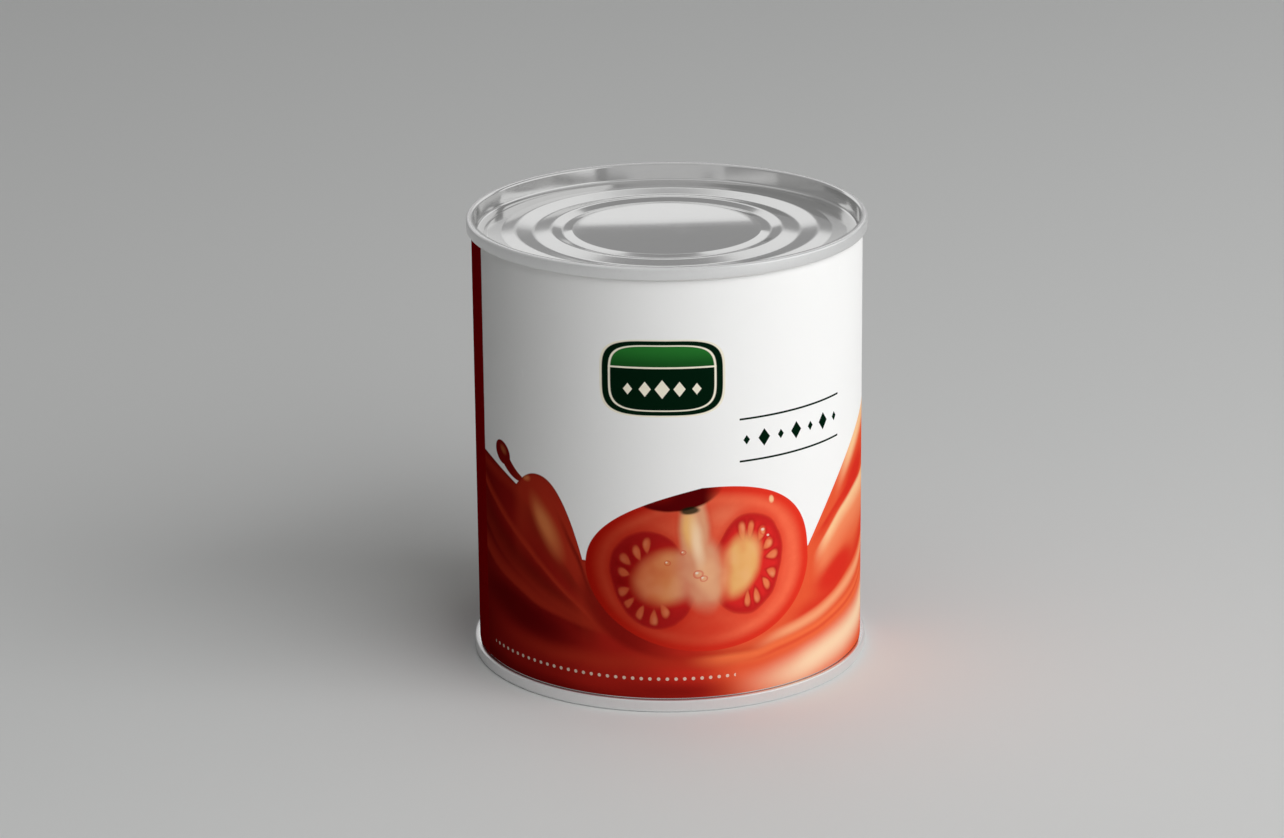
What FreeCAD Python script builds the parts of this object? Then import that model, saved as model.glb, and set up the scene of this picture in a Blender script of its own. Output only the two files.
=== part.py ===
import FreeCAD, Part

import math
import os

os.makedirs("parts", exist_ok=True)

# A shut round food can, 1/1 size: a seamed body filled to the ends, two stamped ends held by
# double seams, and a paper label round the body. Millimetres, +Z up, origin at the middle of
# the foot, the middle of the label's printed front toward -Y.

# Overall sizes
can_height = 116.5          # foot crest to rim crest
body_radius = 49.8          # outside of the body wall

# Double seam
seam_overhang = 1.40        # how far a seam stands out from the body wall
seam_height = 3.20          # how far a seam reaches along the body
rim_set_in = 0.45           # from the outside of the body wall to the inside of the rim
crest_round_out = 0.60      # rounding of the crest toward the outside
crest_round_in = 0.55       # rounding of the crest toward the recess
seam_foot_round = 0.45      # rounding where the rolled seam meets the body

# Stamped end: sheet, then widths from the rim inward and depths under the crest
end_sheet = 0.25
chuck_taper = 0.35          # how far the chuck wall leans in on its way down
sink_width, sink_depth = 2.10, 4.50
sink_rise_width = 1.00      # from the countersink up to the shelf
shelf_width, shelf_depth = 3.70, 4.20
outer_bead_rise, outer_bead_fall = 3.15, 3.95
inner_bead_rise, inner_bead_fall = 3.85, 2.25
bead_crest_width, bead_depth = 0.70, 3.75
valley_width, valley_depth = 0.70, 4.40
panel_groove_width = 0.50
panel_step_width, panel_depth = 2.20, 4.05
sink_round = 0.70           # at the foot of the chuck wall
bead_round = 3.0
small_round = 0.9

# Paper label
label_sheet = 0.15
label_gap_low = 0.20        # between the lower seam and the edge of the paper
label_gap_high = 0.30       # between the edge of the paper and the upper seam
lap_arc = 12.0              # width of the glued lap at the back

seam_radius = body_radius + seam_overhang
label_low = seam_height + label_gap_low
label_high = can_height - seam_height - label_gap_high


def end_section():
    """Radius, depth and rounding of each corner of an end's outer face, rim to axis."""
    steps = [
        (chuck_taper, sink_depth, sink_round),
        (sink_width, sink_depth, small_round),
        (sink_rise_width, shelf_depth, small_round),
        (shelf_width, shelf_depth, bead_round),
        (outer_bead_rise, bead_depth, bead_round),
        (bead_crest_width, bead_depth, bead_round),
        (outer_bead_fall, valley_depth, bead_round),
        (valley_width, valley_depth, bead_round),
        (inner_bead_rise, bead_depth, bead_round),
        (bead_crest_width, bead_depth, bead_round),
        (inner_bead_fall, valley_depth, small_round),
        (panel_groove_width, valley_depth, small_round),
        (panel_step_width, panel_depth, small_round),
    ]
    radius = body_radius - rim_set_in
    corners = [(radius, 0.0, crest_round_in)]
    for width, depth, rounding in steps:
        radius -= width
        corners.append((radius, depth, rounding))
    corners.append((0.0, panel_depth, 0.0))
    return corners


def line_offset(p, q, off):
    """Point and direction of the line p-q moved off its near side, into the can, by off."""
    dx, dz = q[0] - p[0], q[1] - p[1]
    n = math.hypot(dx, dz)
    dx, dz = dx / n, dz / n
    return (p[0] + dz * off, p[1] - dx * off), (dx, dz)


def meet(a, da, b, db):
    """Where two lines, each a point and a direction, meet."""
    cross = da[0] * db[1] - da[1] * db[0]
    t = ((b[0] - a[0]) * db[1] - (b[1] - a[1]) * db[0]) / cross
    return a[0] + da[0] * t, a[1] + da[1] * t


def turn(p, q, r):
    """More than 0 where the sheet bends with its near face on the outside of the bend."""
    return (q[0] - p[0]) * (r[1] - q[1]) - (q[1] - p[1]) * (r[0] - q[0])


def under(path, off):
    """The far face of a sheet whose near face is the path, from under the seam to the axis."""
    first, d = line_offset(path[0], path[1], off)
    t = (seam_height - first[1]) / d[1]
    out = [(first[0] + d[0] * t, seam_height, 0.0)]
    for p, q, r in zip(path, path[1:], path[2:]):
        a, da = line_offset(p, q, off)
        b, db = line_offset(q, r, off)
        x, z = meet(a, da, b, db)
        grow = off if turn(p, q, r) > 0 else -off
        out.append((x, z, q[2] + grow))
    last, _ = line_offset(path[-2], path[-1], off)
    out.append((0.0, last[1], 0.0))
    return out


def edges(path, place):
    """Lines along a path with an arc of its own radius at each corner."""
    made = []
    start = path[0][:2]
    for (px, pz, _), (qx, qz, rad), (rx, rz, _) in zip(path, path[1:], path[2:]):
        ax, az, bx, bz = px - qx, pz - qz, rx - qx, rz - qz
        la, lb = math.hypot(ax, az), math.hypot(bx, bz)
        ax, az, bx, bz = ax / la, az / la, bx / lb, bz / lb
        half = math.acos(ax * bx + az * bz) / 2
        tangent = rad / math.tan(half)
        mx, mz = ax + bx, az + bz
        reach = (rad / math.sin(half) - rad) / math.hypot(mx, mz)
        s = (qx + ax * tangent, qz + az * tangent)
        m = (qx + mx * reach, qz + mz * reach)
        e = (qx + bx * tangent, qz + bz * tangent)
        made.append(seg(place, start, s))
        made.append(Part.Arc(place(s), place(m), place(e)).toShape())
        start = e
    made.append(seg(place, start, path[-1][:2]))
    return made


def from_top(p):
    """A section point, radius and depth, on the upper end."""
    return FreeCAD.Vector(p[0], 0, can_height - p[1])


def from_foot(p):
    """The same section point on the lower end."""
    return FreeCAD.Vector(p[0], 0, p[1])


def seg(place, a, b):
    return Part.LineSegment(place(a), place(b)).toShape()


def spin(section):
    """The solid a closed half section sweeps round the can's axis."""
    wire = Part.Wire(Part.__sortEdges__(section))
    solid = Part.Face(wire).revolve(FreeCAD.Vector(0, 0, 0), FreeCAD.Vector(0, 0, 1), 360)
    if solid.Volume < 0:
        solid.reverse()
    return solid


SECTION = end_section()
inner = under(SECTION, end_sheet)


def end(place):
    """A stamped end with its double seam: the folds of the seam are one ring of metal."""
    outside = [
        inner[0],
        (seam_radius, seam_height, seam_foot_round),
        (seam_radius, 0.0, crest_round_out),
    ] + SECTION
    made = edges(outside, place)
    made += edges(inner, place)
    made.append(seg(place, SECTION[-1][:2], inner[-1][:2]))
    return spin(made)


def body():
    """The body wall and what it holds, filled to the undersides of both ends and seams."""
    edge = (body_radius, seam_height)
    made = edges(inner, from_top) + edges(inner, from_foot)
    made.append(seg(from_top, inner[0][:2], edge))
    made.append(seg(from_foot, inner[0][:2], edge))
    made.append(Part.LineSegment(from_top(edge), from_foot(edge)).toShape())
    made.append(Part.LineSegment(from_top(inner[-1]), from_foot(inner[-1])).toShape())
    return spin(made)


def tube(r_in, r_out, sweep=360.0):
    """A tube, or a part of one, as high as the label."""
    foot, up = FreeCAD.Vector(0, 0, label_low), FreeCAD.Vector(0, 0, 1)
    height = label_high - label_low
    outer = Part.makeCylinder(r_out, height, foot, up, sweep)
    return outer.cut(Part.makeCylinder(r_in, height, foot, up))


def label():
    """One turn of paper with its end lapped over its start at the back."""
    paper = body_radius + label_sheet
    sweep = math.degrees(lap_arc / paper)
    lap = tube(paper, paper + label_sheet, sweep)
    lap.rotate(FreeCAD.Vector(0, 0, 0), FreeCAD.Vector(0, 0, 1), 90 - sweep / 2)
    return tube(body_radius, paper).fuse(lap).removeSplitter()


nodes = {
    "can_body": body(),
    "top_end": end(from_top),
    "bottom_end": end(from_foot),
    "label": label(),
}

for name, shape in nodes.items():
    if shape.ShapeType == "Compound" and len(shape.Solids) == 1:
        shape = shape.Solids[0]
    shape.exportStep(os.path.join("parts", name + ".step"))
    box = shape.BoundBox
    print(name, shape.ShapeType, "valid", shape.isValid(), "solids", len(shape.Solids),
          "volume %.1f" % shape.Volume,
          "box %.2f %.2f %.2f" % (box.XLength, box.YLength, box.ZLength))
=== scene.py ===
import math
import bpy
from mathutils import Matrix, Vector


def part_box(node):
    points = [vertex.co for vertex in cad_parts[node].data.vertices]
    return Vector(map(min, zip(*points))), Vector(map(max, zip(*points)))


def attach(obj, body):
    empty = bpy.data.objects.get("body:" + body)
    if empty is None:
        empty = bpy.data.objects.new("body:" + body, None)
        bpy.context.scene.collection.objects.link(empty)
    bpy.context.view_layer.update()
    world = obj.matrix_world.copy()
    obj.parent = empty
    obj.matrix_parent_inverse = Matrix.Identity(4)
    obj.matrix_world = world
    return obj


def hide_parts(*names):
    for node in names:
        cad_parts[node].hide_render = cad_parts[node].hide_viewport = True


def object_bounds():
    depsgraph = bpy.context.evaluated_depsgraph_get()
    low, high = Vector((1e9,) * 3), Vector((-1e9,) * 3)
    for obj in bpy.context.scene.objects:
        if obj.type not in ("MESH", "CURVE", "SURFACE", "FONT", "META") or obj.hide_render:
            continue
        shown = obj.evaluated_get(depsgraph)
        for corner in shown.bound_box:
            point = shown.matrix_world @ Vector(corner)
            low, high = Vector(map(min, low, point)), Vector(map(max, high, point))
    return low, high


bl_info = {
    "name": "Tomato Paste Tin",
    "version": (1, 0, 0),
    "blender": (4, 5, 0),
    "location": "3D Viewport > Sidebar > Tin",
    "description": "Builds a seamed food tin with beaded ends and a printed paper label",
    "category": "Add Mesh",
}

import bpy
from mathutils import Matrix, Quaternion, Vector

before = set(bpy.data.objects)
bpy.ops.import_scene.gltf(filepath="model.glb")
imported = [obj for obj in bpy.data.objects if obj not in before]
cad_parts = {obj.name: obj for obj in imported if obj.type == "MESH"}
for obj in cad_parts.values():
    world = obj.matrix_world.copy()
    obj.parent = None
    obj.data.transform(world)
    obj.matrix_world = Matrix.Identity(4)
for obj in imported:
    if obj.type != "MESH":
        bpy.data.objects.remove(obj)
FRAME_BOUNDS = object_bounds()
TOP_HIGH = Vector(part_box("top_end")[1])
FOOT_LOW = Vector(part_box("bottom_end")[0])
WALL_HIGH = Vector(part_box("can_body")[1])
PAPER_LOW, PAPER_HIGH = (Vector(c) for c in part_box("label"))

MM = 0.001
IN_MM = 1000.0                     # metres to millimetres
IN_DEGREES = 180 / math.pi         # radians to degrees
IN_RADIANS = math.pi / 180         # degrees to radians

SENSOR_WIDTH = 36.0                # millimetres, to which the lens is given
AIM_DEPTH = 4.2 * MM               # the lamps point this far under the upper seam's crest
POLE = 0.2 * MM                    # radius of the small disc that closes a turned piece
CORNER_STEPS = 5                   # steps of an arc in an end's section
DISH_STEPS, DISH_EDGE = 12, 0.92   # steps of the sagging panel, and where it leaves the rim
SMOOTH_ANGLE = 40                  # degrees; sharper edges stay sharp
SAME_ANGLE = 1e-4                  # radians; closer corners of the label stand in one row

# the print, in degrees round the tin from the front, and in millimetres along the paper
LEFT_BORDER, RIGHT_BORDER = -70.0, 98.0     # where the dark side panel meets the front
BORDER_EDGE = 0.12                          # softness of that border
BACK_PANEL = 43.0                           # middle of the back panel, from the lap

# plain colours and roughness of the metal and the cut paper
END_METAL, END_ROUGH = (0.70, 0.70, 0.695), 0.035
WALL_METAL, WALL_ROUGH = (0.76, 0.755, 0.745), 0.13
SEAM_METAL = (0.84, 0.84, 0.84)
RING_ZONE, SEAM_ZONE = (23.0, 27.5), (49.9, 50.8)   # radii in mm where their finish comes in
CUT_PAPER = (0.78, 0.77, 0.74)

# soft boxes: name, its power's setting, angle round from the front and rise in degrees,
# distance and size in metres, roll in degrees
LAMPS = (
    ("key_light", "key", 46, 32, 1.75, (2.2, 1.5), 0),
    ("side_light", "side", 81, 22, 1.60, (2.6, 1.3), 0),
    ("back_light", "back", 180, 24, 2.20, (4.0, 0.62), -5),
    ("front_light", "front", 0, 18, 1.60, (2.4, 1.0), 0),
    ("top_light", "above", 180, 89, 1.90, (3.0, 3.0), 0),
)


# ---------------------------------------- sizes and colours

def length(name, description, default):
    """A size in metres."""
    return bpy.props.FloatProperty(
        name=name, description=description, default=default, min=0.0, precision=5,
        unit="LENGTH", subtype="DISTANCE")


def number(name, description, default, low=0.0, high=1.0):
    """A number without a unit."""
    return bpy.props.FloatProperty(
        name=name, description=description, default=default, min=low, max=high)


def ink(name, description, red, green, blue):
    """A colour as it looks on paper, 0 to 255 a channel, kept as scene-linear."""
    linear = [c / 255 / 12.92 if c <= 10 else ((c / 255 + 0.055) / 1.055) ** 2.4
              for c in (red, green, blue)]
    return bpy.props.FloatVectorProperty(
        name=name, description=description, default=linear, size=3, min=0.0, max=1.0,
        subtype="COLOR")


class TinSizes(bpy.types.PropertyGroup):
    """Sizes of the metal and the paper."""
    rings: bpy.props.IntProperty(
        name="Steps round", description="Faces round the tin", default=288, min=96, max=512)
    seam_radius: length("Seam radius", "Outside of the double seams", TOP_HIGH.x)
    seam_height: length("Seam height", "How far a seam reaches along the body", 3.2 * MM)
    wall_radius: length("Wall radius", "Outside of the body wall", WALL_HIGH.x)
    rim_set_in: length("Rim set in", "Body wall to the inside of the rim", 0.45 * MM)
    sheet: length("End sheet", "Thickness of the sheet of the ends", 0.25 * MM)
    panel_dish: length("Panel dish", "How far the middle panel sags", 0.21 * MM)
    paper: length("Paper", "Thickness of the label", 0.15 * MM)
    lap: length("Lap", "Width of the glued lap at the back", 12.0 * MM)


class PrintColours(bpy.types.PropertyGroup):
    """Inks of the label."""
    ground: ink("Ground", "White of the front panel", 240, 240, 239)
    side: ink("Side panel", "Dark red of the back and sides", 126, 4, 8)
    sauce_dark: ink("Sauce shadow", "Deepest red of the sauce", 92, 5, 8)
    sauce_red: ink("Sauce red", "Body colour of the sauce", 214, 48, 34)
    sauce_orange: ink("Sauce orange", "Lit folds of the sauce", 238, 112, 66)
    sauce_ember: ink("Sauce ember", "Dim folds in the shade", 172, 48, 29)
    sauce_amber: ink("Sauce amber", "Lit folds in the shade", 212, 124, 72)
    sauce_cream: ink("Sauce highlight", "Brightest folds of the sauce", 246, 198, 148)
    skin: ink("Skin", "Edge of the cut tomato", 222, 48, 32)
    flesh: ink("Flesh", "Wall of the cut tomato", 240, 104, 72)
    gel: ink("Gel", "Red round the seeds", 220, 42, 40)
    seed_bed: ink("Seed bed", "Yellow middle of a chamber", 238, 184, 110)
    core: ink("Core", "Pale middle of the tomato", 226, 160, 122)
    seed: ink("Seed", "Seeds", 240, 134, 84)
    plaque: ink("Plaque", "Dark green of the plaque and rules", 4, 28, 14)
    leaf_green: ink("Mid green", "Upper band of the plaque", 38, 112, 44)
    cream: ink("Cream", "Thin lines and small ornaments", 238, 232, 212)


class StageSizes(bpy.types.PropertyGroup):
    """Camera and light."""
    camera_distance: length("Camera distance", "From the lens to the tin's middle", 1.1020)
    camera_tilt: bpy.props.FloatProperty(
        name="Camera tilt", description="How far the camera looks down",
        default=math.radians(18.2327), subtype="ANGLE", unit="ROTATION")
    camera_roll: bpy.props.FloatProperty(
        name="Camera roll", description="Roll of the camera about its view",
        default=math.radians(-0.5772), subtype="ANGLE", unit="ROTATION")
    camera_left: length("Camera left", "How far the camera stands to the left", 0.00685)
    camera_up: length("Camera up", "How far the camera stands above its tilted line", 0.00272)
    lens: number("Lens", "Focal length in millimetres on a 36 mm sensor", 119.16, 10, 400)
    key: number("Key light", "Power of the light at the front right, in watts", 30.0, 0, 1000)
    side: number("Side light", "Power of the light at the right, in watts", 6.6, 0, 1000)
    back: number("Back light", "Power of the light above and behind, in watts", 4.5, 0, 1000)
    above: number("Overhead light", "Power of the light overhead, in watts", 8.0, 0, 1000)
    front: number("Front light", "Power of the faint light in front, in watts", 1.7, 0, 1000)
    shown: number("Background", "How bright the room looks past the tin and in it", 0.34, 0, 10)
    room: number("Room light", "Brightness of the room", 0.03, 0, 10)
    floor: ink("Floor", "Colour of the floor", 222, 223, 222)
    floor_size: length("Floor size", "Side of the square floor", 2.1)


# ---------------------------------------- building shader nodes

class Num:
    """A number on a node socket. Arithmetic on it adds Math nodes to its tree."""

    def __init__(self, tree, socket):
        self.tree, self.socket = tree, socket

    def math(self, operation, *values):
        """Adds a Math node for an operation on numbers."""
        made = self.tree.nodes.new("ShaderNodeMath")
        made.operation = operation
        for socket, value in zip(made.inputs, values):
            join(self.tree, value, socket)
        return Num(self.tree, made.outputs[0])

    def __add__(self, other):
        return self.math("ADD", self, other)

    def __radd__(self, other):
        return self.math("ADD", other, self)

    def __sub__(self, other):
        return self.math("SUBTRACT", self, other)

    def __rsub__(self, other):
        return self.math("SUBTRACT", other, self)

    def __mul__(self, other):
        return self.math("MULTIPLY", self, other)

    def __truediv__(self, other):
        return self.math("DIVIDE", self, other)

    def __rtruediv__(self, other):
        return self.math("DIVIDE", other, self)

    def __pow__(self, other):
        return self.math("POWER", self, other)

    def __neg__(self):
        return self.math("MULTIPLY", self, -1.0)

    def __abs__(self):
        return self.math("ABSOLUTE", self)

    def least(self, other):
        return self.math("MINIMUM", self, other)

    def most(self, other):
        return self.math("MAXIMUM", self, other)

    def root(self):
        return self.math("SQRT", self)

    def step(self, start, end, low=0.0, high=1.0):
        """Eases from low at start to high at end."""
        made = self.tree.nodes.new("ShaderNodeMapRange")
        made.interpolation_type = "SMOOTHSTEP"
        for name, value in (("Value", self), ("From Min", start), ("From Max", end),
                            ("To Min", low), ("To Max", high)):
            join(self.tree, value, made.inputs[name])
        return Num(self.tree, made.outputs[0])

    def under(self, edge, soft):
        """1 where the number is under the edge, 0 where it is over, with a soft border."""
        if isinstance(edge, Num):
            return (edge - self).step(-soft, soft)
        return self.step(edge + soft, edge - soft)


def join(tree, value, socket):
    """Links a value into a socket, or sets it there."""
    if isinstance(value, Num):
        tree.links.new(value.socket, socket)
    elif isinstance(value, bpy.types.NodeSocket):
        tree.links.new(value, socket)
    elif socket.type == "RGBA" and len(value) == 3:
        socket.default_value = (*value, 1.0)
    else:
        socket.default_value = value


def node(tree, kind, outlet=0, settings=None, **inputs):
    """Adds a node with its settings and inputs and gives one of its outputs."""
    made = tree.nodes.new("ShaderNode" + kind)
    for name, value in (settings or {}).items():
        setattr(made, name, value)
    for name, value in inputs.items():
        join(tree, value, made.inputs[name.replace("_", " ")])
    return made.outputs[outlet]


def noise(tree, scale, detail, roughness, vector, **inputs):
    """A cloudy number from 0 to 1."""
    return Num(tree, node(tree, "TexNoise", Vector=vector, Scale=scale, Detail=detail,
                          Roughness=roughness, **inputs))


def stretch(tree, vector, scale, turn=(0.0, 0.0, 0.0)):
    """A place scaled by its three axes, and turned."""
    return node(tree, "Mapping", Vector=vector, Scale=scale, Rotation=turn)


def paint(tree, under, over, mask):
    """The colour over laid on the colour under through a mask."""
    made = tree.nodes.new("ShaderNodeMix")
    made.data_type = "RGBA"
    join(tree, mask, made.inputs[0])
    join(tree, under, made.inputs[6])
    join(tree, over, made.inputs[7])
    return made.outputs[2]


def shade(tree, colour, amount):
    """A colour times a number."""
    made = tree.nodes.new("ShaderNodeMix")
    made.data_type, made.blend_type = "RGBA", "MULTIPLY"
    made.inputs[0].default_value = 1.0
    join(tree, colour, made.inputs[6])
    join(tree, amount, made.inputs[7])
    return made.outputs[2]


def ramp(tree, value, stops):
    """A colour that runs through stops of (place, colour)."""
    made = tree.nodes.new("ShaderNodeValToRGB")
    made.color_ramp.interpolation = "EASE"
    low, high = stops[0][0], stops[-1][0]
    elements = made.color_ramp.elements
    while len(elements) < len(stops):
        elements.new(0.5)
    for element, (place, colour) in zip(elements, stops):
        element.position = (place - low) / (high - low)
        element.color = (*colour, 1.0)
    join(tree, (value - low) / (high - low), made.inputs[0])
    return made.outputs[0]


class Group:
    """A node group under construction: named numbers in, named results out."""

    def __init__(self, name, inputs, outputs):
        self.tree = bpy.data.node_groups.new(name, "ShaderNodeTree")
        for title, default in inputs.items():
            self.tree.interface.new_socket(
                title, in_out="INPUT", socket_type="NodeSocketFloat").default_value = default
        for title, kind in outputs.items():
            self.tree.interface.new_socket(
                title, in_out="OUTPUT", socket_type="NodeSocket" + kind)
        entry = self.tree.nodes.new("NodeGroupInput")
        self.exit = self.tree.nodes.new("NodeGroupOutput")
        self.inputs = [Num(self.tree, entry.outputs[title]) for title in inputs]

    def give(self, **results):
        """Wires the results to the group's outputs and ends it."""
        for title, value in results.items():
            join(self.tree, value, self.exit.inputs[title.replace("_", " ")])
        return self.tree


def place(tree, name, **inputs):
    """Puts a finished group in a tree and gives its outputs by name."""
    made = tree.nodes.new("ShaderNodeGroup")
    made.node_tree = bpy.data.node_groups[name]
    for title, value in inputs.items():
        join(tree, value, made.inputs[title.replace("_", " ")])
    return {o.name: Num(tree, o) if o.type == "VALUE" else o for o in made.outputs}


# ---------------------------------------- shader node groups

def make_wrap():
    """Angle round from the front in degrees, + to its right, and height and arcs in mm."""
    g = Group("Round The Tin", {}, {"Angle": "Float", "Height": "Float", "Arc": "Float",
                                     "Back Arc": "Float"})
    spot = node(g.tree, "TexCoord", "Object")
    parts = g.tree.nodes.new("ShaderNodeSeparateXYZ")
    join(g.tree, spot, parts.inputs[0])
    x, y, z = (Num(g.tree, o) for o in parts.outputs)
    turn = x.math("ARCTAN2", x, -y)
    radius = PAPER_HIGH.x * IN_MM
    g.give(Angle=turn * IN_DEGREES, Height=z * IN_MM, Arc=turn * radius,
           Back_Arc=(-x).math("ARCTAN2", -x, y) * radius)


def make_oval():
    """How far a point lies out from the middle of an oval: 1 on its outline."""
    g = Group("Oval", {"X": 0, "Y": 0, "Centre X": 0, "Centre Y": 0, "Half Width": 1,
                       "Half Height": 1, "Turn": 0, "Power": 2}, {"Reach": "Float"})
    x, y, cx, cy, wide, high, turn, power = g.inputs
    x, y = x - cx, y - cy
    rad = turn * IN_RADIANS
    cos, sin = rad.math("COSINE", rad), rad.math("SINE", rad)
    along, across = x * cos + y * sin, y * cos - x * sin
    g.give(Reach=((abs(along / wide)) ** power + (abs(across / high)) ** power)
           ** (1.0 / power))


def make_fold():
    """A streak along a curve z = level + slope t + curve t^2, soft or sharp on either side."""
    g = Group("Fold", {"Across": 0, "Up": 0, "Start": 0, "Level": 0, "Slope": 0, "Curve": 0,
                       "Above": 1, "Below": 1, "Spread": 0, "Fade In": 5, "Reach": 60,
                       "Fade Out": 20}, {"Mask": "Float"})
    (across, up, start, level, slope, curve,
     above, below, spread, fade_in, reach, fade_out) = g.inputs
    t = across - start
    lean = up - (level + t * slope + t * t * curve)
    grown = 1.0 + t.most(0.0) * spread
    over, under = lean.most(0.0) / (above * grown), (-lean).most(0.0) / (below * grown)
    ends = t.step(0.0, fade_in) * t.step(reach, reach - fade_out)
    g.give(Mask=(over + under).step(1.0, 0.0) * ends)


def make_seed_row():
    """Seeds that stand round the bed of a chamber, each a little different."""
    g = Group("Seed Row", {"X": 0, "Y": 0, "Half Width": 7, "Half Height": 9, "Reach": 1.3,
                           "Spacing": 22, "Middle": 0, "Range": 80, "Seed": 0},
              {"Mask": "Float", "Light": "Float", "Halo": "Float"})
    x, y, wide, high, reach, spacing, middle, limit, seed = g.inputs
    px, py = x / wide, y / high
    angle = px.math("ARCTAN2", py, px) * IN_DEGREES - middle
    index = px.math("ROUND", angle / spacing)
    chance = g.tree.nodes.new("ShaderNodeTexWhiteNoise")
    chance.noise_dimensions = "1D"
    join(g.tree, index * 1.7 + seed, chance.inputs["W"])
    parts = g.tree.nodes.new("ShaderNodeSeparateXYZ")
    join(g.tree, chance.outputs["Color"], parts.inputs[0])
    r1, r2, r3 = (Num(g.tree, o) for o in parts.outputs)
    mean = (wide + high) * 0.5
    dist = (px * px + py * py).root()
    side = (angle - index * spacing + (r1 - 0.5) * 7) * IN_RADIANS * dist * mean
    out = (dist - reach + (r2 - 0.5) * 0.12) * mean
    long = 1.65 + r3 * 0.45
    fat = (0.88 + r1 * 0.24) * (1.0 + out * 0.22)
    shape = ((side / fat) ** 2.0 + (out / long) ** 2.0).root()
    row = (abs(index * spacing)).under(limit, 0.5)
    glint = ((side / fat + 0.2) ** 2.0 + (out / long - 0.25) ** 2.0).root()
    g.give(Mask=shape.step(1.25, 0.60) * row * (0.75 + r2 * 0.25),
           Light=glint.step(0.8, 0.0) * row * r1, Halo=shape.step(1.9, 1.0) * row)


def make_grain():
    """Fine lines of rolled sheet, faint scratches and handling marks."""
    g = Group("Rolled Tinplate", {"Grain": 0.5, "Marks": 0.5},
              {"Tone": "Float", "Gloss": "Float", "Bump": "Float", "Radius": "Float"})
    grain, marks = g.inputs
    spot = node(g.tree, "TexCoord", "Object")
    parts = g.tree.nodes.new("ShaderNodeSeparateXYZ")
    join(g.tree, spot, parts.inputs[0])
    x, y, _ = (Num(g.tree, o) for o in parts.outputs)
    lines = noise(g.tree, 1.0, 3.0, 0.6, stretch(g.tree, spot, (180, 6500, 900)))
    broad = noise(g.tree, 1.0, 2.0, 0.5, stretch(g.tree, spot, (40, 900, 200)))
    cloud = noise(g.tree, 38.0, 3.0, 0.55, spot)
    crystal = Num(g.tree, node(g.tree, "TexVoronoi", "Color", Vector=spot, Scale=420.0))
    specks = noise(g.tree, 1500.0, 1.0, 0.5, spot)
    scratch = noise(g.tree, 1.0, 1.0, 0.5,
                    stretch(g.tree, spot, (60, 1500, 300), (0, 0, math.radians(34))),
                    Distortion=0.4)
    hair = abs(scratch - 0.5).step(0.006, 0.0) * cloud.step(0.5, 0.68) * marks
    tone = 1.0 + (lines - 0.5) * 0.10 * grain + (crystal - 0.5) * 0.03 * grain \
        - hair * 0.10 - specks.step(0.72, 0.80) * 0.12 * marks
    gloss = (lines - 0.5) * 0.05 * grain + (broad - 0.5) * 0.04 * grain \
        + cloud.step(0.50, 0.75) * 0.05 * marks + hair * 0.10
    g.give(Tone=tone, Gloss=gloss, Bump=lines * 0.5 * grain + broad * 0.5 * grain - hair,
           Radius=(x * x + y * y).root() * IN_MM)


def make_paper_skin():
    """Fibre, varnish and small scuffs of coated label paper."""
    g = Group("Coated Paper", {"Fibre": 0.5, "Scuffs": 0.5},
              {"Tone": "Float", "Gloss": "Float", "Bump": "Float"})
    fibre, scuffs = g.inputs
    spot = node(g.tree, "TexCoord", "Object")
    fine = noise(g.tree, 2600.0, 2.0, 0.6, spot)
    soft = noise(g.tree, 120.0, 3.0, 0.5, spot)
    wide = noise(g.tree, 22.0, 2.0, 0.5, spot)
    rub = noise(g.tree, 1.0, 3.0, 0.6, stretch(g.tree, spot, (500, 500, 90)))
    scuff = rub.step(0.66, 0.76) * wide.step(0.5, 0.62) * scuffs
    g.give(Tone=1.0 + (fine - 0.5) * 0.02 * fibre + (soft - 0.5) * 0.012 * fibre
           + scuff * 0.06,
           Gloss=(soft - 0.5) * 0.10 * fibre + (wide - 0.5) * 0.06 + scuff * 0.20,
           Bump=fine * 0.6 * fibre + soft * 0.4 * fibre)


# ---------------------------------------- the print

def oval(tree, x, y, cx, cy, wide, high, turn=0.0, power=2.0):
    """How far out from an oval's middle, given its middle, half sizes, turn and squareness."""
    return place(tree, "Oval", X=x, Y=y, Centre_X=cx, Centre_Y=cy, Half_Width=wide,
                 Half_Height=high, Turn=turn, Power=power)["Reach"]


def fold(tree, across, up, points, above, below, spread=0.0, fade_in=6.0, fade_out=16.0):
    """A streak through three points, each (across, up), from the first one outwards."""
    (t0, z0), (t1, z1), (t2, z2) = points
    first, second = (z1 - z0) / (t1 - t0), (z2 - z1) / (t2 - t1)
    curve = (second - first) / (t2 - t0)
    return place(tree, "Fold", Across=across, Up=up, Start=t0, Level=z0,
                 Slope=first - curve * (t1 - t0), Curve=curve, Above=above, Below=below,
                 Spread=spread, Fade_In=fade_in, Reach=t2 - t0, Fade_Out=fade_out)["Mask"]


def sway(tree, a, z, scale, amount, seed):
    """A slow wander that keeps drawn curves from looking ruled."""
    spot = node(tree, "CombineXYZ", X=a * 0.87, Y=z, Z=seed)
    return (noise(tree, scale, 1.0, 0.5, spot) - 0.5) * amount


def layered(body, layers):
    """Lays rows of (way of laying, ink, strength, shape) over a colour, one after another."""
    for lay, *how in layers:
        body = lay(body, *how)
    return body


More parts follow.
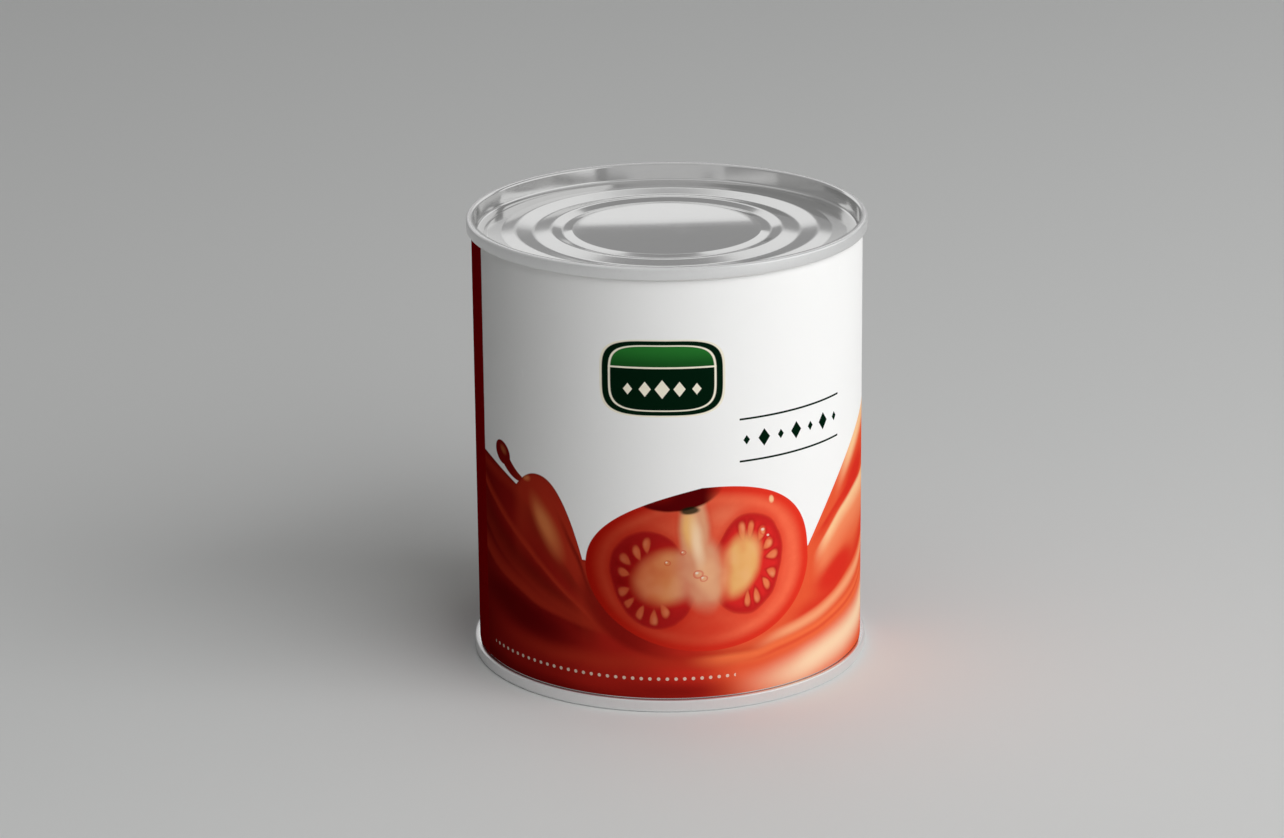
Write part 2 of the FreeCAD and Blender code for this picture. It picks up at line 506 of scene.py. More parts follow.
def print_sauce(tree, c, a, z, ground):
    """Waves of sauce that fan out to both sides from under the tomato."""
    left = -a

    # the upper edge: a tongue and a wave behind it, a wave at the right, and under the tomato
    t = left - 42
    tongue = 59.2 - (t.most(0) ** 2.0) * 0.058 - ((-t).most(0) ** 2.3) * 0.036
    back_wave = 59.3 - (70 - left).most(0) ** 1.5 * 0.055 - (50 - left).most(0) * 4.0
    r = a - 45.0
    right_wave = 40.0 + r * 1.20 - r * r * 0.0125
    hidden = 39.0 - (abs(a - 10) - 36.6).most(0) * 20.0
    top = tongue.most(back_wave).most(right_wave).most(hidden)

    # a drop that leaves the tongue by a thin neck
    drop = oval(tree, a, z, -57.6, 61.6, 4.0, 2.9, -20)
    neck = fold(tree, a, z, ((-57.4, 61.6), (-53.4, 58.4), (-48.0, 56.4)), 4.4, 4.4, -0.080,
                0.2, 0.4)
    mask = z.under(top, 0.16).most(drop.step(1.05, 0.97)).most(neck.step(0.25, 0.4))

    edge = top - z
    z = z + sway(tree, a, z, 0.05, 3.0, 3.0)
    left = left + sway(tree, a, z, 0.06, 3.0, 9.0)
    red, orange, cream = c.sauce_red, c.sauce_orange, c.sauce_cream
    dark, glow, lit = c.sauce_dark, c.sauce_ember, c.sauce_amber
    warm = c.mixed("sauce_orange", "sauce_cream", 0.30)
    peach = c.mixed("sauce_orange", "sauce_cream", 0.55)
    milky = c.mixed("sauce_cream", "cream", 0.35)
    deep = c.mixed("sauce_dark", "sauce_red", 0.25)
    body = ramp(tree, a, [
        (-75, c.mixed("sauce_dark", "sauce_red", 0.12)),
        (-45, deep),
        (-15, c.mixed("sauce_dark", "sauce_red", 0.45)),
        (5, c.mixed("sauce_dark", "sauce_red", 0.78)),
        (22, c.mixed("sauce_red", "sauce_orange", 0.50)),
        (45, c.mixed("sauce_red", "sauce_orange", 0.50)),
        (98, c.mixed("sauce_red", "sauce_orange", 0.60))])

    def streak(under, over, strength, across, *shape):
        """A fold: three points, softness above and below, spread, fade in and fade out."""
        return paint(tree, under, over, fold(tree, across, z, *shape) * strength)

    def patch(under, over, strength, *shape):
        """A soft oval: middle, half width, half height and turn."""
        return paint(tree, under, over, oval(tree, a, z, *shape).step(1.0, 0.2) * strength)

    # left side: the deep folds first, then what catches the light
    body = layered(body, (
        (patch, dark, 0.95, -50, 21, 34, 8, -10),
        (streak, dark, 0.90, left, ((20, 19), (45, 33), (86, 47)), 4.0, 6.0, 0.012, 8),
        (streak, dark, 0.85, left, ((22, 24), (38, 42), (58, 57)), 1.4, 5.0, 0.015, 8),
        (streak, glow, 0.60, left, ((14, 19.5), (45, 26), (90, 42)), 5.0, 1.4, 0.006, 12),
        (streak, glow, 0.35, left, ((18, 20), (45, 30), (88, 50)), 7.0, 1.6, 0.004, 12),
        (streak, glow, 0.75, left, ((19, 19), (45, 38), (82, 56)), 1.5, 0.8, 0.018, 8),
        (streak, glow, 0.40, left, ((44, 51), (60, 55.5), (88, 58)), 2.4, 3.4, 0.0, 8),
        (streak, glow, 0.55, left, ((-34, 15), (6, 13.0), (70, 14)), 4.0, 3.4, 0.0, 16, 50),
        (streak, dark, 0.55, left, ((-6, 3), (40, 4), (92, 7)), 3.0, 6.0, 0.0, 30)))
    lobe = left.under(51, 3.0) * (left - 19).step(0, 6)
    body = paint(tree, body, glow, lobe * edge.step(26, 4) * 0.70)
    body = layered(body, (
        (patch, glow, 0.85, -36.0, 45.0, 17, 8.0, -56),
        (patch, lit, 0.60, -38.6, 45.6, 12.0, 4.6, -54),
        (patch, lit, 0.60, -39.6, 46.6, 7.0, 2.6, -54),
        (streak, dark, 0.60, left, ((22, 26), (28, 39), (37, 53)), 1.8, 2.6, 0.0, 6, 8),
        (patch, lit, 0.70, -46.4, 57.2, 2.4, 1.4),
        (patch, lit, 0.60, -57.2, 62.2, 2.6, 1.4, -30)))
    body = paint(tree, body, dark, edge.step(0.9, 0.0) * a.step(-20, -30) * 0.45)

    # right side, from the upper edge down to the foot
    body = paint(tree, body, cream, edge.step(7.0, 2.0) * a.step(56, 69) * 0.95)
    body = layered(body, (
        (patch, red, 1.00, 71, 51.0, 19, 6.4, 26),
        (streak, red, 0.85, a, ((45, 39), (60, 47), (94, 55)), 1.2, 3.2, 0.012, 8),
        (streak, warm, 0.85, a, ((45, 33.0), (60, 41.0), (98, 43)), 3.0, 9.5, 0.012, 8),
        (streak, cream, 0.95, a, ((46, 35.0), (58, 42.6), (98, 44.5)), 1.3, 4.0, 0.014, 9),
        (patch, red, 1.00, 58, 28.8, 16, 6.0, 9),
        (patch, red, 0.95, 58, 28.8, 13, 4.6, 12),
        (streak, red, 0.80, a, ((34, 19), (62, 26.0), (98, 40)), 4.5, 0.9, 0.012, 10),
        (streak, peach, 0.85, a, ((22, 15.5), (50, 20), (96, 34)), 2.4, 2.4, 0.005, 16),
        (streak, orange, 0.90, a, ((2, 13.8), (50, 16.4), (96, 27)), 1.6, 3.2, 0.006, 16),
        (streak, red, 0.50, a, ((18, 12.2), (52, 15.9), (96, 27)), 1.0, 1.0, 0.004, 16),
        (streak, milky, 0.95, a, ((14, 5), (54, 8.8), (98, 17)), 5.4, 6.4, 0.006, 34),
        (streak, deep, 1.00, a, ((-34, 3.0), (0, 4.8), (28, 3)), 5.6, 6.0, 0.0, 30, 26)))
    return paint(tree, ground, body, mask)


def print_tomato(tree, c, x, z, under):
    """Half a tomato, cut face to the front: wall, two chambers with seeds, pale middle."""
    low = (37.5 - z).most(0)
    squareness = z.step(32, 41, 2.0, 2.32)
    shoulder = (8.0 - x).most(0) * (z - 38.0).most(0) * 0.009
    outline = oval(tree, x - low * 0.1, z + shoulder, 8.1, 37.5, 30.2, 21.7, 2.0, squareness)
    shadow = oval(tree, x, z, 8.4, 36.4, 31.6, 22.4, 3.0, 2.2).step(1.07, 0.97)
    inside = outline.step(1.004, 0.996)
    x = x + sway(tree, x, z, 0.16, 1.3, 1.0)
    z = z + sway(tree, x, z, 0.16, 1.1, 5.0)
    # share of painted light across the tomato: painted shade at the left, full light at the
    # right; it also keeps the seed glints and the pale mottle to the lit right
    light = x.step(-28, 30)

    def lay(lower, upper, mask, strength=1.0):
        return paint(tree, lower, upper, mask * strength)

    def lit(colour, depth):
        """An ink that grows deeper and redder towards the left: the print's own shading,
        deepened with painted shade where the key light from the right falls least.
        """
        full = getattr(c, colour)
        deep = tuple(v * max(0.0, 1 - depth * d) for v, d in zip(full, (0.55, 0.83, 0.86)))
        return paint(tree, deep, full, light)

    # each ink as a lit copy at the right and a copy with painted shade at the left
    wall, rim, gel = lit("flesh", 1.0), lit("skin", 1.0), lit("gel", 1.5)
    bed, grain, core = lit("seed_bed", 0.70), lit("seed", 0.85), lit("core", 0.60)
    pale, shadow_ink = c.mixed("core", "sauce_cream", 0.80), c.mixed("sauce_dark", "gel", 0.35)

    # wall, deeper at the skin and round the chambers, with one lit band
    fibre = noise(tree, 0.45, 3.0, 0.6, node(tree, "CombineXYZ", X=x * 0.8, Y=z))
    face = shade(tree, wall, node(tree, "CombineColor", Red=0.96 + fibre * 0.08,
                                  Green=0.84 + fibre * 0.28, Blue=0.84 + fibre * 0.28))
    face = lay(face, rim, outline.step(0.84, 0.97), 0.95)
    face = lay(face, rim, outline.step(0.62, 0.74) * outline.step(0.84, 0.76), 0.22)
    face = lay(face, rim, oval(tree, x, z, 6, 22.5, 15, 8).step(1.0, 0.3), 0.60)
    face = lay(face, pale, oval(tree, x, z, 14, 52, 7, 4, 10).step(1.0, 0.1), 0.10)

    # pale middle with a lobe into each chamber
    stem = oval(tree, x, z, 5.9, 47.0, 3.4, 12.5, 2, 2.0) - 1.0
    heart = oval(tree, x, z, 8.6, 36.2, 5.4, 8.6, 4, 2.0) - 1.0
    lobes = (oval(tree, x, z, -0.8, 35.8, 8.0, 6.2, 24) - 1.0).least(
        oval(tree, x, z, 17.4, 37.8, 5.0, 7.6, -22) - 1.0)
    heart = heart.math("SMOOTH_MIN", heart, lobes, 0.30)
    middle = stem.math("SMOOTH_MIN", stem, heart, 0.25)

    # the chambers: side of the seeds, middle, half sizes, turn, first seed, seed of chance
    for mirror, cx, cz, wide, high, turn, first, chance in (
            (-1, -4.8, 35.0, 10.0, 13.0, 20, -16.0, 3.1),
            (1, 20.0, 37.9, 9.4, 13.2, -9, 6.0, 8.7)):
        ring = oval(tree, x, z, cx, cz, wide, high, turn, 2.15)
        face = lay(face, rim, ring.step(1.22, 0.98), 0.50)
        face = lay(face, gel, ring.step(1.04, 0.95))
        face = lay(face, shadow_ink, ring.step(1.04, 0.99) * ring.step(0.78, 0.96), 0.40)
        seeds = place(tree, "Seed Row", X=(x - cx) * mirror, Y=z - cz, Half_Width=wide,
                      Half_Height=high, Reach=0.72, Spacing=25.0, Middle=first, Range=105.0,
                      Seed=chance)
        keep = ring.step(0.97, 0.88)
        face = lay(face, shadow_ink, seeds["Halo"] * keep, 0.45)
        face = lay(face, grain, seeds["Mask"] * keep, 0.85)
        face = lay(face, pale, seeds["Light"] * keep * light, 0.40)

    # the flesh that fills the middle, mottled, redder to the left and at the foot
    mottle = noise(tree, 0.20, 1.0, 0.5, node(tree, "CombineXYZ", X=x, Y=z, Z=4.0))
    flesh = lay(core, bed, (abs(x - 7.4)).step(3.5, 9.0), 0.90)
    flesh = lay(flesh, wall, x.step(7, -7), 0.62)
    flesh = lay(flesh, wall, (abs(x - 13.8)).step(2.6, 0.4), 0.45)
    flesh = lay(flesh, pale, mottle.step(0.42, 0.70) * light, 0.30)
    flesh = lay(flesh, rim, mottle.step(0.52, 0.25), 0.18)
    flesh = lay(flesh, rim, z.step(32, 24), 0.35)
    face = lay(face, rim, middle.step(0.50, 0.0), 0.45)
    face = lay(face, flesh, middle.step(0.36, -0.24), 0.95)
    face = lay(face, pale, oval(tree, x, z, 9.4, 36.5, 4.0, 8.5).step(1.0, 0.1), 0.45)
    below_stalk = z.step(54.8, 51.5)
    face = lay(face, c.seed_bed, oval(tree, x, z, 4.8, 48.5, 2.6, 8.0, 3).step(1.0, 0.2)
               * below_stalk, 0.85)
    face = lay(face, c.mixed("sauce_cream", "cream", 0.3),
               oval(tree, x, z, 6.6, 45.0, 2.3, 9.8, 7).step(1.0, 0.1) * below_stalk, 0.90)

    # the hollow at the stalk, with its shade
    hollow = oval(tree, x, z, 2.0, 59.0, 11.6, 5.7, 8.0).step(1.04, 0.92) * x.step(15, 8)
    face = lay(face, c.deeper("sauce_dark", 0.80), hollow)
    face = lay(face, lit("skin", 1.05), z.step(54.0, 58.5) * x.step(3, -6) * hollow, 0.60)
    face = lay(face, c.plaque, oval(tree, x, z, 4.9, 53.5, 3.1, 1.3, 4).step(1.0, 0.5), 0.9)

    # a glint and a few drops of juice
    face = lay(face, c.sauce_cream, oval(tree, x, z, 26.4, 53.8, 0.9, 1.3, 14)
               .step(1.0, 0.4), 0.9)
    for cx, cz, size in ((7.0, 36.4, 1.3), (8.4, 35.2, 1.0), (-0.6, 39.8, 0.9),
                         (3.2, 42.4, 0.8), (24.6, 46.0, 1.5), (26.0, 44.4, 1.2)):
        bead = oval(tree, x, z, cx, cz, size, size * 0.85)
        face = lay(face, lit("gel", 0.8), bead.step(1.1, 0.9) * bead.step(0.45, 0.8), 0.45)
        spark = oval(tree, x, z, cx - size * 0.3, cz + size * 0.25, size * 0.45, size * 0.35)
        face = lay(face, c.cream, spark.step(1.0, 0.3), 0.7)

    # the soft shade that the tomato casts on the sauce
    shade_ink = paint(tree, c.sauce_dark, c.mixed("sauce_dark", "sauce_red", 0.75),
                      x.step(-12, 30))
    under = lay(under, shade_ink, shadow * z.step(38, 30) * x.step(14, -12), 0.50)
    return paint(tree, under, face, inside)


def print_front(tree, c, x, z, under):
    """A plain plaque, plain rules and small lozenges where such labels carry their words."""
    cream, green = c.cream, c.plaque

    def lozenge(lower, colour, cx, cz, wide, high):
        return paint(tree, lower, colour,
                     (abs(x - cx) / wide + abs(z - cz) / high).step(1.04, 0.96))

    # the plaque: cream border, dark green field, mid-green band over a line, five lozenges
    plaque_x, plaque_z, band_z = -1.8, 88.0, 90.7
    reach = oval(tree, x, z, plaque_x, plaque_z, 15.2, 9.6, 0.0, 4.0)
    field = reach.step(0.90, 0.885)
    band = paint(tree, c.leaf_green, c.mixed("plaque", "leaf_green", 0.4), z.step(96, 90.5))
    out = paint(tree, under, cream, reach.step(1.050, 1.028))
    out = paint(tree, out, green, reach.step(1.008, 0.992))
    out = paint(tree, out, band, field * z.step(90.6, 90.8))
    out = paint(tree, out, cream, field * reach.step(0.850, 0.865))
    out = paint(tree, out, cream, abs(z - band_z).under(0.22, 0.06) * field)
    for k in range(-2, 3):
        size = 2.2 - 0.42 * abs(k)
        out = lozenge(out, cream, k * 4.3 + plaque_x, 85.2, size * 0.85, size * 1.1)

    # two rules at the right, with seven lozenges between them
    rules_x, rules_z = 34.3, (76.2, 65.2)
    for level in rules_z:
        out = paint(tree, out, green, abs(z - level).under(0.26, 0.07)
                    * abs(x - rules_x).under(16.6, 0.1))
    for k in range(-3, 4):
        size = 1.25 if k % 2 else 2.3
        out = lozenge(out, green, rules_x + k * 4.9, sum(rules_z) / 2, size * 0.72, size)

    # a row of dots along the foot
    dot_gap, dots_x, dots_z = 2.2, -19.8, 8.6
    across = (x.math("FRACT", x / dot_gap) - 0.5) * dot_gap
    dots = (across ** 2.0 + (z - dots_z) ** 2.0).under(0.20, 0.06)
    return paint(tree, out, cream, dots * abs(x - dots_x).under(36.3, 0.1) * 0.6)


def print_back(tree, c, arc, z, under):
    """A blank panel with an inset line and a few empty rows, beside the paper's overlap."""
    cream, side = c.cream, c.side
    arc = arc - BACK_PANEL
    panel = oval(tree, arc, z, 0.0, 57.0, 31.0, 38.0, 0.0, 9.0)
    out = paint(tree, under, cream, panel.step(1.004, 0.996))
    out = paint(tree, out, side, panel.step(0.958, 0.952) * panel.step(0.938, 0.944))

    row_gap, rows_top, rows_foot = 6.0, 68.0, 29.0
    rows = (abs(z.math("FRACT", z / row_gap) - 0.5) * row_gap).under(0.16, 0.05)
    out = paint(tree, out, side, rows * abs(arc).under(24.0, 0.1) * z.under(rows_top, 0.1)
                * (-z).under(-rows_foot, 0.1) * 0.8)

    head_z = 79.0
    head = oval(tree, arc, z, 0.0, head_z, 24.0, 5.2, 0.0, 8.0)
    out = paint(tree, out, side, head.step(1.01, 0.99))
    for k in range(-1, 2):
        gem = abs(arc - k * 9.0) + abs(z - head_z)
        out = paint(tree, out, cream, gem.under(2.2, 0.12))
    return out


class Inks:
    """The print's colours, with mixtures of two of them."""

    def __init__(self, colours):
        self.colours = colours

    def __getattr__(self, name):
        return tuple(getattr(self.colours, name))

    def deeper(self, name, share):
        """A colour times a share."""
        return tuple(v * share for v in getattr(self, name))

    def mixed(self, first, second, share):
        """The first colour with a share of the second."""
        return tuple(p + (q - p) * share
                     for p, q in zip(getattr(self, first), getattr(self, second)))


# ---------------------------------------- materials

def new_material(name):
    """An empty material, with its tree and its main shader."""
    made = bpy.data.materials.new(name)
    made.use_nodes = True
    return made, made.node_tree, made.node_tree.nodes["Principled BSDF"]


def bump(tree, height, strength, distance):
    """A normal pushed about by a height, over a distance in metres."""
    return node(tree, "Bump", Height=height, Strength=strength, Distance=distance)


def make_tinplate(name, colour, rough, grain, marks):
    """Bright sheet, duller over the stamped rings and again over the rolled seam."""
    made, tree, skin = new_material(name)
    effect = place(tree, "Rolled Tinplate", Grain=grain, Marks=marks)
    seamed = effect["Radius"].step(*SEAM_ZONE)
    sheet = paint(tree, colour, SEAM_METAL, seamed)
    join(tree, shade(tree, sheet, effect["Tone"].socket), skin.inputs["Base Color"])
    join(tree, 1.0 - seamed * 0.25, skin.inputs["Metallic"])
    worked = effect["Radius"].step(*RING_ZONE)
    join(tree, (rough + effect["Gloss"] + worked * 0.07 + seamed * 0.20).most(0.02),
         skin.inputs["Roughness"])
    join(tree, bump(tree, effect["Bump"], 0.04, 0.00001), skin.inputs["Normal"])
    return made


def make_label_print(name, colours):
    """The printed side of the label: sauce, tomato, ornaments and the dark side panel."""
    made, tree, skin = new_material(name)
    c = Inks(colours)
    here = place(tree, "Round The Tin")
    a, z, x = here["Angle"], here["Height"], here["Arc"]
    out = print_sauce(tree, c, a, z, c.ground)
    out = print_tomato(tree, c, x, z, out)
    out = print_front(tree, c, x, z, out)
    side = a.under(LEFT_BORDER, BORDER_EDGE).most((-a).under(-RIGHT_BORDER, BORDER_EDGE))
    out = paint(tree, out, c.side, side)
    out = print_back(tree, c, here["Back Arc"], z, out)
    skin_of = place(tree, "Coated Paper", Fibre=0.6, Scuffs=0.5)
    out = shade(tree, out, skin_of["Tone"].socket)
    join(tree, out, skin.inputs["Base Color"])
    join(tree, (0.50 + skin_of["Gloss"]).most(0.1), skin.inputs["Roughness"])
    skin.inputs["Specular IOR Level"].default_value = 0.0
    join(tree, bump(tree, skin_of["Bump"], 0.12, 0.00003), skin.inputs["Normal"])
    return made


def make_paper_edge(name):
    """The bare cut edge of the label."""
    made, tree, skin = new_material(name)
    effect = place(tree, "Coated Paper", Fibre=1.0, Scuffs=0.2)
    join(tree, shade(tree, CUT_PAPER, effect["Tone"].socket), skin.inputs["Base Color"])
    skin.inputs["Roughness"].default_value = 0.9
    return made


# ---------------------------------------- modelling

def sheet_corners(s):
    """Corners of an end's outer face from rim to middle: radius, depth and rounding."""
    r = s.wall_radius - s.rim_set_in
    corners = [(r, 0.0, 0.55)]
    for width, depth, rounding in (
            (0.35, 4.50, 0.7), (2.10, 4.50, 0.9), (1.00, 4.20, 0.9), (3.70, 4.20, 3.0),
            (3.15, 3.75, 3.0), (0.70, 3.75, 3.0), (3.95, 4.40, 3.0), (0.70, 4.40, 3.0),
            (3.85, 3.75, 3.0), (0.70, 3.75, 3.0), (2.25, 4.40, 0.9), (0.50, 4.40, 0.9),
            (2.20, 4.05, 0.9)):
        r -= width * MM
        corners.append((r, depth * MM, rounding))
    return [(r, d, rounding * MM) for r, d, rounding in corners]


def rounded(corners, steps):
    """The points of a path whose corners are rounded off by arcs."""
    out = [corners[0][:2]]
    for (px, pz, _), (qx, qz, rad), (rx, rz, _) in zip(corners, corners[1:], corners[2:]):
        a, b = Vector((px - qx, pz - qz)), Vector((rx - qx, rz - qz))
        ua, ub = a.normalized(), b.normalized()
        half = ua.angle(ub) / 2
        reach = min(rad / math.tan(half), 0.49 * a.length, 0.49 * b.length)
        rad = reach * math.tan(half)
        q = Vector((qx, qz))
        middle = q + (ua + ub).normalized() * (rad / math.sin(half))
        start, end = q + ua * reach - middle, q + ub * reach - middle
        sweep = start.angle(end)
        for k in range(steps + 1):
            f = k / steps
            spoke = start * math.sin((1 - f) * sweep) + end * math.sin(f * sweep)
            out.append(tuple(middle + spoke / math.sin(sweep)))
    out.append(corners[-1][:2])
    return out


def turned(name, path, steps):
    """Turns a path of (radius, height) into a closed skin, one extruded ring after another."""
    bpy.ops.object.select_all(action="DESELECT")
    bpy.ops.mesh.primitive_circle_add(
        vertices=steps, radius=path[0][0], fill_type="NOTHING", location=(0, 0, path[0][1]))
    piece = bpy.context.object
    piece.name = piece.data.name = name
    bpy.ops.object.transform_apply(location=True, rotation=False, scale=False)
    bpy.ops.object.mode_set(mode="EDIT")
    bpy.ops.mesh.select_all(action="SELECT")
    for (r0, z0), (r1, z1) in zip(path, path[1:]):
        bpy.ops.mesh.extrude_edges_move(TRANSFORM_OT_translate={"value": (0, 0, z1 - z0)})
        bpy.ops.transform.resize(value=(r1 / r0, r1 / r0, 1), center_override=(0, 0, z1))
    bpy.ops.mesh.select_all(action="SELECT")
    bpy.ops.mesh.fill_holes(sides=0)
    bpy.ops.mesh.select_all(action="SELECT")
    bpy.ops.mesh.normals_make_consistent(inside=False)
    bpy.ops.object.mode_set(mode="OBJECT")
    return piece


def smooth(piece):
    """Shades a piece smooth, except over its sharp edges."""
    bpy.ops.object.select_all(action="DESELECT")
    piece.select_set(True)
    bpy.context.view_layer.objects.active = piece
    bpy.ops.object.shade_smooth_by_angle(angle=math.radians(SMOOTH_ANGLE))


def dress(piece, node_name, slot, *materials):
    """Gives a piece its materials and ties it to the frame in a node's stead."""
    piece.data.materials.clear()
    for made in materials:
        piece.data.materials.append(made)
    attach(piece, "root")
    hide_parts(node_name)


def end_path(s):
    """The closed half section of an end with its rolled seam, crest at height 0."""
    face = sheet_corners(s)
    inner = [(r, d + s.sheet, rounding) for r, d, rounding in reversed(face[2:])]
    low = [(POLE, inner[0][1], 0), *inner,
           (face[1][0] + s.sheet, face[1][1] + s.sheet, 0.5 * MM),
           (face[0][0] + s.sheet, s.seam_height, 0.05 * MM),
           (s.seam_radius, s.seam_height, 0.45 * MM),
           (s.seam_radius, 0.0, 0.60 * MM)]
    edge, depth = face[-1][:2]

    def dished(share):
        """A point of the sagging middle panel, at a share of its radius."""
        return edge * share, depth + s.panel_dish * (1 - share ** 2)

    dish = [dished(k / DISH_STEPS) for k in range(DISH_STEPS - 2, 0, -1)]
    dish.append((POLE, depth + s.panel_dish))
    top = face + [(*dished(DISH_EDGE), 0)]
    return [(r, -d) for r, d in rounded(low + top, CORNER_STEPS) + dish]


class TIN_OT_ends(bpy.types.Operator):
    """Turn the beaded ends with their double seams"""
    bl_idname = "tin.ends"
    bl_label = "Make ends"

    def execute(self, context):
        s = context.scene.tin_sizes
        path = end_path(s)
        tin = make_tinplate("tinplate_end", END_METAL, END_ROUGH, grain=0.5, marks=0.6)
        upper = turned("tin_top", [(r, TOP_HIGH.z + z) for r, z in path], s.rings)
        lower = turned("tin_foot", [(r, FOOT_LOW.z - z) for r, z in path], s.rings)
        for piece, node_name in ((upper, "top_end"), (lower, "bottom_end")):
            smooth(piece)
            dress(piece, node_name, "tin_end", tin)
        return {"FINISHED"}


class TIN_OT_body(bpy.types.Operator):
    """Give the body wall its drawn tinplate"""
    bl_idname = "tin.body"
    bl_label = "Finish body"

    def execute(self, context):
        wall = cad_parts["can_body"]
        wall.data.materials.clear()
        wall.data.materials.append(
            make_tinplate("tinplate_wall", WALL_METAL, WALL_ROUGH, grain=0.6, marks=0.4))
        return {"FINISHED"}


class TIN_OT_label(bpy.types.Operator):
    """Wrap the printed paper round the body"""
    bl_idname = "tin.label"
    bl_label = "Make label"

    def execute(self, context):
        s = context.scene.tin_sizes
        radius = s.wall_radius + s.paper
        height = PAPER_HIGH.z - PAPER_LOW.z
        bpy.ops.object.select_all(action="DESELECT")
        bpy.ops.mesh.primitive_cylinder_add(
            vertices=s.rings, radius=radius, depth=height, end_fill_type="NOTHING",
            location=(0, 0, PAPER_LOW.z + height / 2))
        paper = context.object
        paper.name = paper.data.name = "paper_label"
        bpy.ops.object.transform_apply(location=True, rotation=False, scale=False)
        self.lap(paper, s.lap / radius / 2, (radius + s.paper) / radius)
        bpy.ops.object.modifier_add(type="SOLIDIFY")
        solid = paper.modifiers[-1]
        solid.thickness, solid.offset, solid.material_offset_rim = s.paper, -1.0, 1
        bpy.ops.object.modifier_apply(modifier=solid.name)
        smooth(paper)
        prints = make_label_print("label_print", context.scene.print_colours)
        dress(paper, "label", "label_paper", prints, make_paper_edge("paper_edge"))
        return {"FINISHED"}

    @staticmethod
    def lap(paper, half, raised):
        """Doubles the strip of paper at the back and lifts all but one of its long edges."""
        def back_angle(co):
            return math.atan2(co.x, co.y)

        bpy.ops.object.mode_set(mode="EDIT")
        bpy.ops.mesh.select_all(action="DESELECT")
        bpy.ops.object.mode_set(mode="OBJECT")
        count = len(paper.data.vertices)
        for face in paper.data.polygons:
            face.select = abs(back_angle(face.center)) < half
        bpy.ops.object.mode_set(mode="EDIT")
        bpy.ops.mesh.select_mode(type="FACE")
        bpy.ops.mesh.duplicate()
        bpy.ops.object.mode_set(mode="OBJECT")
        bpy.ops.object.mode_set(mode="EDIT")
        bpy.ops.mesh.select_mode(type="VERT")
        bpy.ops.mesh.select_all(action="DESELECT")
        bpy.ops.object.mode_set(mode="OBJECT")
        last = min(back_angle(v.co) for v in paper.data.vertices[count:])
        for v in paper.data.vertices[count:]:
            v.select = back_angle(v.co) > last + SAME_ANGLE
        bpy.ops.object.mode_set(mode="EDIT")
        bpy.ops.transform.resize(value=(raised, raised, 1), center_override=(0, 0, 0))
        bpy.ops.object.mode_set(mode="OBJECT")


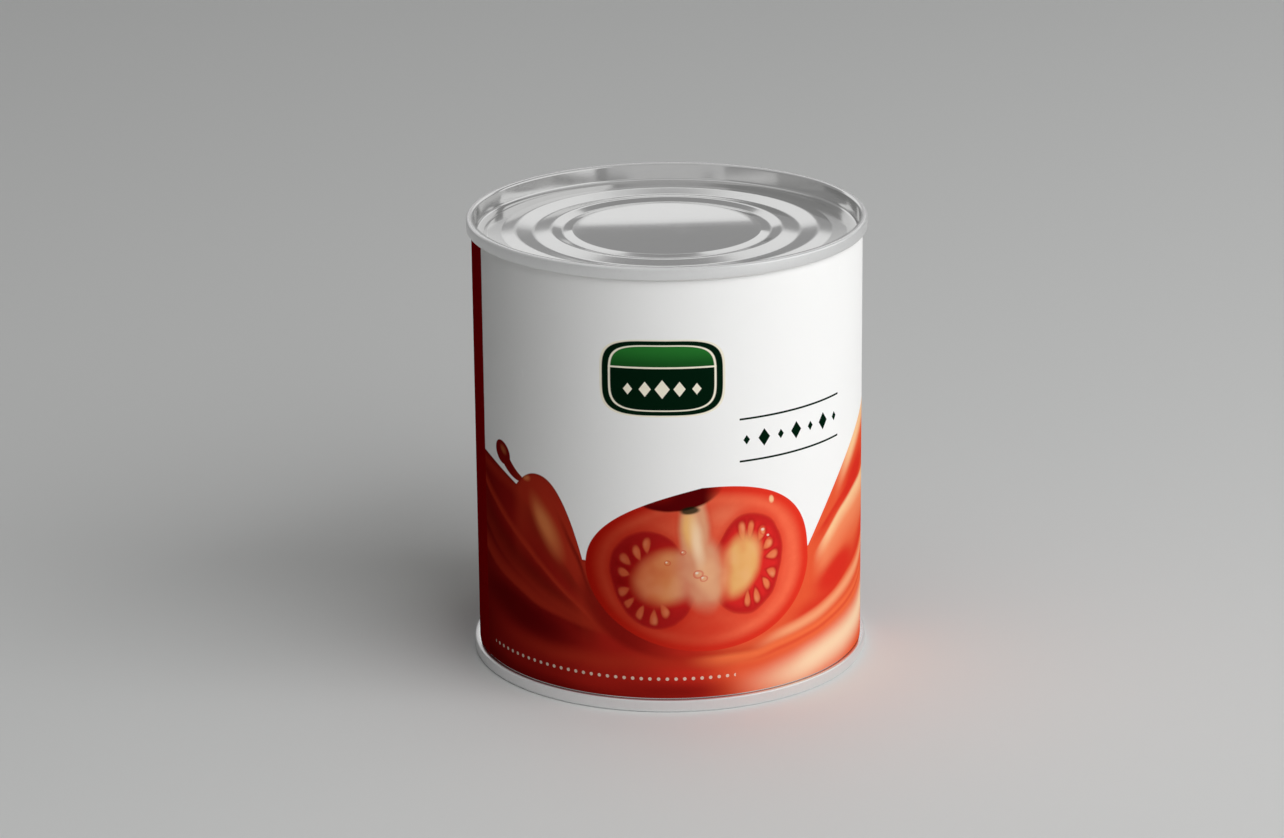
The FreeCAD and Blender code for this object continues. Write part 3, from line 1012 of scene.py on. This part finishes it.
class TIN_OT_stage(bpy.types.Operator):
    """Set the floor, the lights and the camera"""
    bl_idname = "tin.stage"
    bl_label = "Set stage"

    def execute(self, context):
        stage = context.scene.stage_sizes
        bpy.ops.object.select_all(action="DESELECT")
        bpy.ops.mesh.primitive_plane_add(size=stage.floor_size,
                                         location=(0, 0, FRAME_BOUNDS[0][2]))
        floor = context.object
        floor.name = "stage_floor"
        made, _, skin = new_material("pale_floor")
        skin.inputs["Base Color"].default_value = (*stage.floor, 1.0)
        skin.inputs["Roughness"].default_value = 0.75
        skin.inputs["Specular IOR Level"].default_value = 0.2
        floor.data.materials.append(made)

        world = bpy.data.worlds.new("room")
        context.scene.world = world
        world.use_nodes = True
        tree = world.node_tree
        back = tree.nodes["Background"]
        back.inputs["Color"].default_value = (1, 1, 1, 1)
        camera, glossy, through = (
            Num(tree, node(tree, "LightPath", f"Is {kind} Ray"))
            for kind in ("Camera", "Glossy", "Transmission"))
        seen = camera.most(glossy).most(through)
        join(tree, stage.room + seen * (stage.shown - stage.room), back.inputs["Strength"])

        for name, power, *placing in LAMPS:
            lamp = self.lamp(context, name, getattr(stage, power), *placing)
            lamp.visible_glossy = name != "key_light"     # it would mirror across the top
        self.camera(context, stage)
        context.scene.view_settings.view_transform = "Standard"
        return {"FINISHED"}

    @staticmethod
    def lamp(context, name, power, azimuth, rise, away, size, roll):
        """A soft box at an angle round from the front and up, facing the tin's top."""
        turn, lift = math.radians(azimuth), math.radians(rise)
        aim = Vector((0, 0, TOP_HIGH.z - AIM_DEPTH))
        spot = aim + away * Vector((math.sin(turn) * math.cos(lift),
                                    -math.cos(turn) * math.cos(lift), math.sin(lift)))
        bpy.ops.object.light_add(type="AREA", location=spot)
        lamp = context.object
        lamp.name = name
        lamp.data.shape = "RECTANGLE"
        lamp.data.size, lamp.data.size_y = size
        lamp.data.energy = power
        facing = (aim - spot).to_track_quat("-Z", "Y")
        lamp.rotation_euler = (facing @ Quaternion((0, 0, 1), math.radians(roll))).to_euler()
        return lamp

    @staticmethod
    def camera(context, stage):
        """The camera, tilted down at the tin and a little rolled."""
        tilt, roll = stage.camera_tilt, stage.camera_roll
        ahead = Vector((0, math.cos(tilt), -math.sin(tilt)))
        right, up = Vector((1, 0, 0)), Vector((0, math.sin(tilt), math.cos(tilt)))
        right, up = (right * math.cos(roll) + up * math.sin(roll),
                     up * math.cos(roll) - right * math.sin(roll))
        middle = Vector((0, 0, (FRAME_BOUNDS[0][2] + FRAME_BOUNDS[1][2]) / 2))
        spot = middle - ahead * stage.camera_distance \
            - right * stage.camera_left + up * stage.camera_up
        bpy.ops.object.camera_add(location=spot)
        camera = context.object
        camera.name = "camera"
        camera.matrix_world = Matrix.Translation(spot) @ Matrix(
            (right, up, -ahead)).transposed().to_4x4()
        camera.data.sensor_width = SENSOR_WIDTH
        camera.data.lens = stage.lens
        context.scene.camera = camera


class TIN_PT_panel(bpy.types.Panel):
    """Everything that makes the tin"""
    bl_label = "Tomato Paste Tin"
    bl_idname = "TIN_PT_panel"
    bl_space_type = "VIEW_3D"
    bl_region_type = "UI"
    bl_category = "Tin"

    def draw(self, context):
        scene = context.scene
        for group in (scene.tin_sizes, scene.print_colours, scene.stage_sizes):
            box = self.layout.box()
            for name in group.__annotations__:
                box.prop(group, name)
        for operator in OPERATORS:
            self.layout.operator(operator.bl_idname)


GROUPS = {"tin_sizes": TinSizes, "print_colours": PrintColours, "stage_sizes": StageSizes}
OPERATORS = (TIN_OT_ends, TIN_OT_body, TIN_OT_label, TIN_OT_stage)
CLASSES = (*GROUPS.values(), *OPERATORS, TIN_PT_panel)


def register():
    for each in CLASSES:
        bpy.utils.register_class(each)
    for name, each in GROUPS.items():
        setattr(bpy.types.Scene, name, bpy.props.PointerProperty(type=each))


def unregister():
    for name in GROUPS:
        delattr(bpy.types.Scene, name)
    for each in reversed(CLASSES):
        bpy.utils.unregister_class(each)


def main():
    register()
    for make in (make_wrap, make_oval, make_fold, make_seed_row, make_grain, make_paper_skin):
        make()
    bpy.ops.tin.ends()
    bpy.ops.tin.body()
    bpy.ops.tin.label()
    bpy.ops.tin.stage()


if __name__ == "__main__":
    main()
